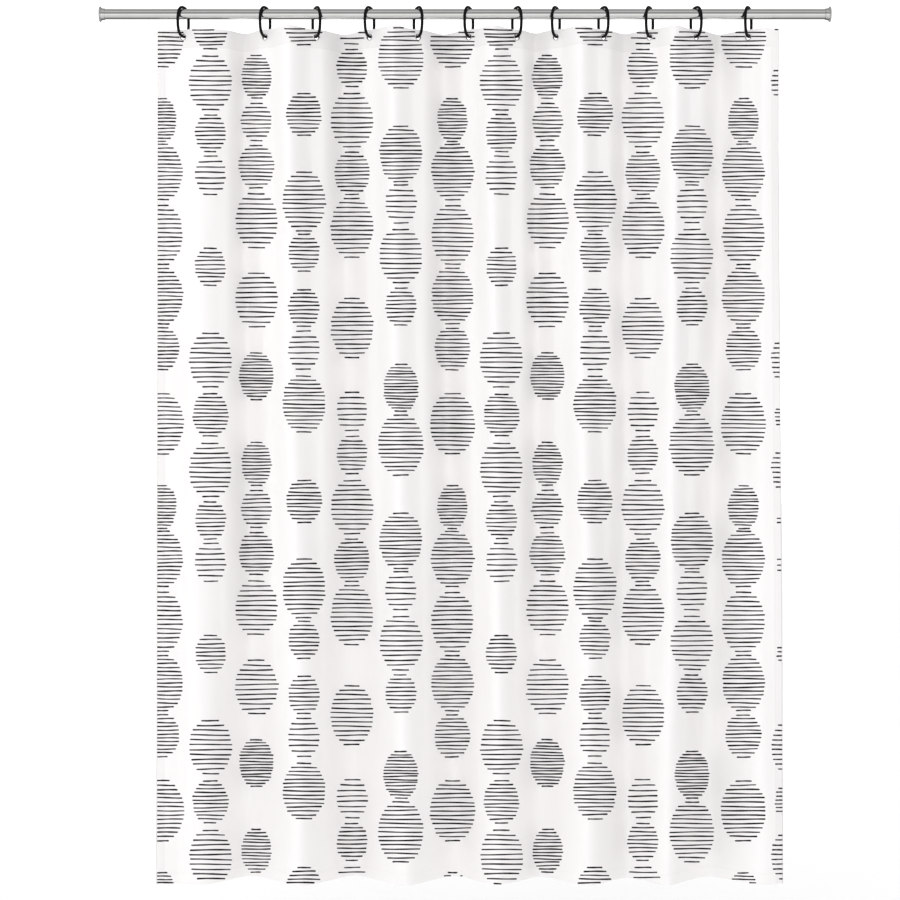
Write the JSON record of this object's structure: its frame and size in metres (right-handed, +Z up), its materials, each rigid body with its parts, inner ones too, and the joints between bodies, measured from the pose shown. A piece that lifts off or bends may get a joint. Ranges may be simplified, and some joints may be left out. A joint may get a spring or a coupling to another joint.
{
  "type": "shower curtain",
  "caption": "Pleated shower curtain with a striped-dot print, hung by open rings through metal grommets from an extending tension rod.",
  "frame": {"origin": "point where the rod's axis meets the left wall, at the outer face of the left foot pad", "axes": "+X along the rod from the left wall to the right wall, +Z up, -Y the side the print faces"},
  "size_m": [1.554, 0.1138, 1.8605],
  "materials": {
    "rod_steel": "polished",
    "cap_chrome": "polished",
    "foot_rubber": "matte",
    "lock_plastic": "matte",
    "spindle_steel": "satin",
    "ring_plastic": "satin",
    "grommet_metal": "satin",
    "cloth": "matte"
  },
  "bodies": {
    "rod": {"rod_outer_tube": "rod_steel", "left_end_cap": "cap_chrome", "left_foot_pad": "foot_rubber"},
    "rod_slider": {"rod_inner_tube": "rod_steel", "rod_lock_plug": "lock_plastic", "rod_grip_cone": "lock_plastic", "rod_lock_spindle": "spindle_steel", "right_end_cap": "cap_chrome", "right_foot_pad": "foot_rubber"},
    "curtain": {"curtain_panel": "cloth", "header_hem": "cloth", "bottom_hem": "cloth", "left_side_hem": "cloth", "right_side_hem": "cloth", "ring_01": "ring_plastic", "grommet_01": "grommet_metal", "grommet_washer_01": "grommet_metal"},
    "ring_carrier_02": {"ring_02": "ring_plastic", "grommet_02": "grommet_metal", "grommet_washer_02": "grommet_metal"},
    "ring_carrier_03": {"ring_03": "ring_plastic", "grommet_03": "grommet_metal", "grommet_washer_03": "grommet_metal"},
    "ring_carrier_04": {"ring_04": "ring_plastic", "grommet_04": "grommet_metal", "grommet_washer_04": "grommet_metal"},
    "ring_carrier_05": {"ring_05": "ring_plastic", "grommet_05": "grommet_metal", "grommet_washer_05": "grommet_metal"},
    "ring_carrier_06": {"ring_06": "ring_plastic", "grommet_06": "grommet_metal", "grommet_washer_06": "grommet_metal"},
    "ring_carrier_07": {"ring_07": "ring_plastic", "grommet_07": "grommet_metal", "grommet_washer_07": "grommet_metal"},
    "ring_carrier_08": {"ring_08": "ring_plastic", "grommet_08": "grommet_metal", "grommet_washer_08": "grommet_metal"},
    "ring_carrier_09": {"ring_09": "ring_plastic", "grommet_09": "grommet_metal", "grommet_washer_09": "grommet_metal"},
    "ring_carrier_10": {"ring_10": "ring_plastic", "grommet_10": "grommet_metal", "grommet_washer_10": "grommet_metal"},
    "ring_carrier_11": {"ring_11": "ring_plastic", "grommet_11": "grommet_metal", "grommet_washer_11": "grommet_metal"},
    "ring_carrier_12": {"ring_12": "ring_plastic", "grommet_12": "grommet_metal", "grommet_washer_12": "grommet_metal"}
  },
  "joints": [
    {"name": "rod_extend", "type": "slide", "parent": "rod", "child": "rod_slider", "axis": [1, 0, 0], "range_m": [0, 0.6]},
    {"name": "curtain_swing", "type": "hinge", "parent": "rod", "child": "curtain", "pos_m": [0, 0, 0], "axis": [1, 0, 0], "range_deg": [-35, 35]},
    {"name": "curtain_draw", "type": "slide", "parent": "curtain", "child": "ring_carrier_12", "axis": [1, 0, 0], "range_m": [-0.7206, 0], "deforming": ["curtain_panel", "header_hem", "bottom_hem", "left_side_hem", "right_side_hem"]},
    {"name": "ring_02_slide", "type": "slide", "parent": "curtain", "child": "ring_carrier_02", "axis": [1, 0, 0], "range_m": [-0.1046, 0]},
    {"name": "ring_03_slide", "type": "slide", "parent": "curtain", "child": "ring_carrier_03", "axis": [1, 0, 0], "range_m": [-0.17, 0]},
    {"name": "ring_04_slide", "type": "slide", "parent": "curtain", "child": "ring_carrier_04", "axis": [1, 0, 0], "range_m": [-0.2378, 0]},
    {"name": "ring_05_slide", "type": "slide", "parent": "curtain", "child": "ring_carrier_05", "axis": [1, 0, 0], "range_m": [-0.2996, 0]},
    {"name": "ring_06_slide", "type": "slide", "parent": "curtain", "child": "ring_carrier_06", "axis": [1, 0, 0], "range_m": [-0.3644, 0]},
    {"name": "ring_07_slide", "type": "slide", "parent": "curtain", "child": "ring_carrier_07", "axis": [1, 0, 0], "range_m": [-0.4256, 0]},
    {"name": "ring_08_slide", "type": "slide", "parent": "curtain", "child": "ring_carrier_08", "axis": [1, 0, 0], "range_m": [-0.4754, 0]},
    {"name": "ring_09_slide", "type": "slide", "parent": "curtain", "child": "ring_carrier_09", "axis": [1, 0, 0], "range_m": [-0.536, 0]},
    {"name": "ring_10_slide", "type": "slide", "parent": "curtain", "child": "ring_carrier_10", "axis": [1, 0, 0], "range_m": [-0.5948, 0]},
    {"name": "ring_11_slide", "type": "slide", "parent": "curtain", "child": "ring_carrier_11", "axis": [1, 0, 0], "range_m": [-0.6542, 0]}
  ],
  "couplings": [
    {"joint": "ring_02_slide", "follows": "curtain_draw", "ratio": 0.1449},
    {"joint": "ring_03_slide", "follows": "curtain_draw", "ratio": 0.2356},
    {"joint": "ring_04_slide", "follows": "curtain_draw", "ratio": 0.3297},
    {"joint": "ring_05_slide", "follows": "curtain_draw", "ratio": 0.4155},
    {"joint": "ring_06_slide", "follows": "curtain_draw", "ratio": 0.5054},
    {"joint": "ring_07_slide", "follows": "curtain_draw", "ratio": 0.5903},
    {"joint": "ring_08_slide", "follows": "curtain_draw", "ratio": 0.6595},
    {"joint": "ring_09_slide", "follows": "curtain_draw", "ratio": 0.7435},
    {"joint": "ring_10_slide", "follows": "curtain_draw", "ratio": 0.8251},
    {"joint": "ring_11_slide", "follows": "curtain_draw", "ratio": 0.9076}
  ]
}
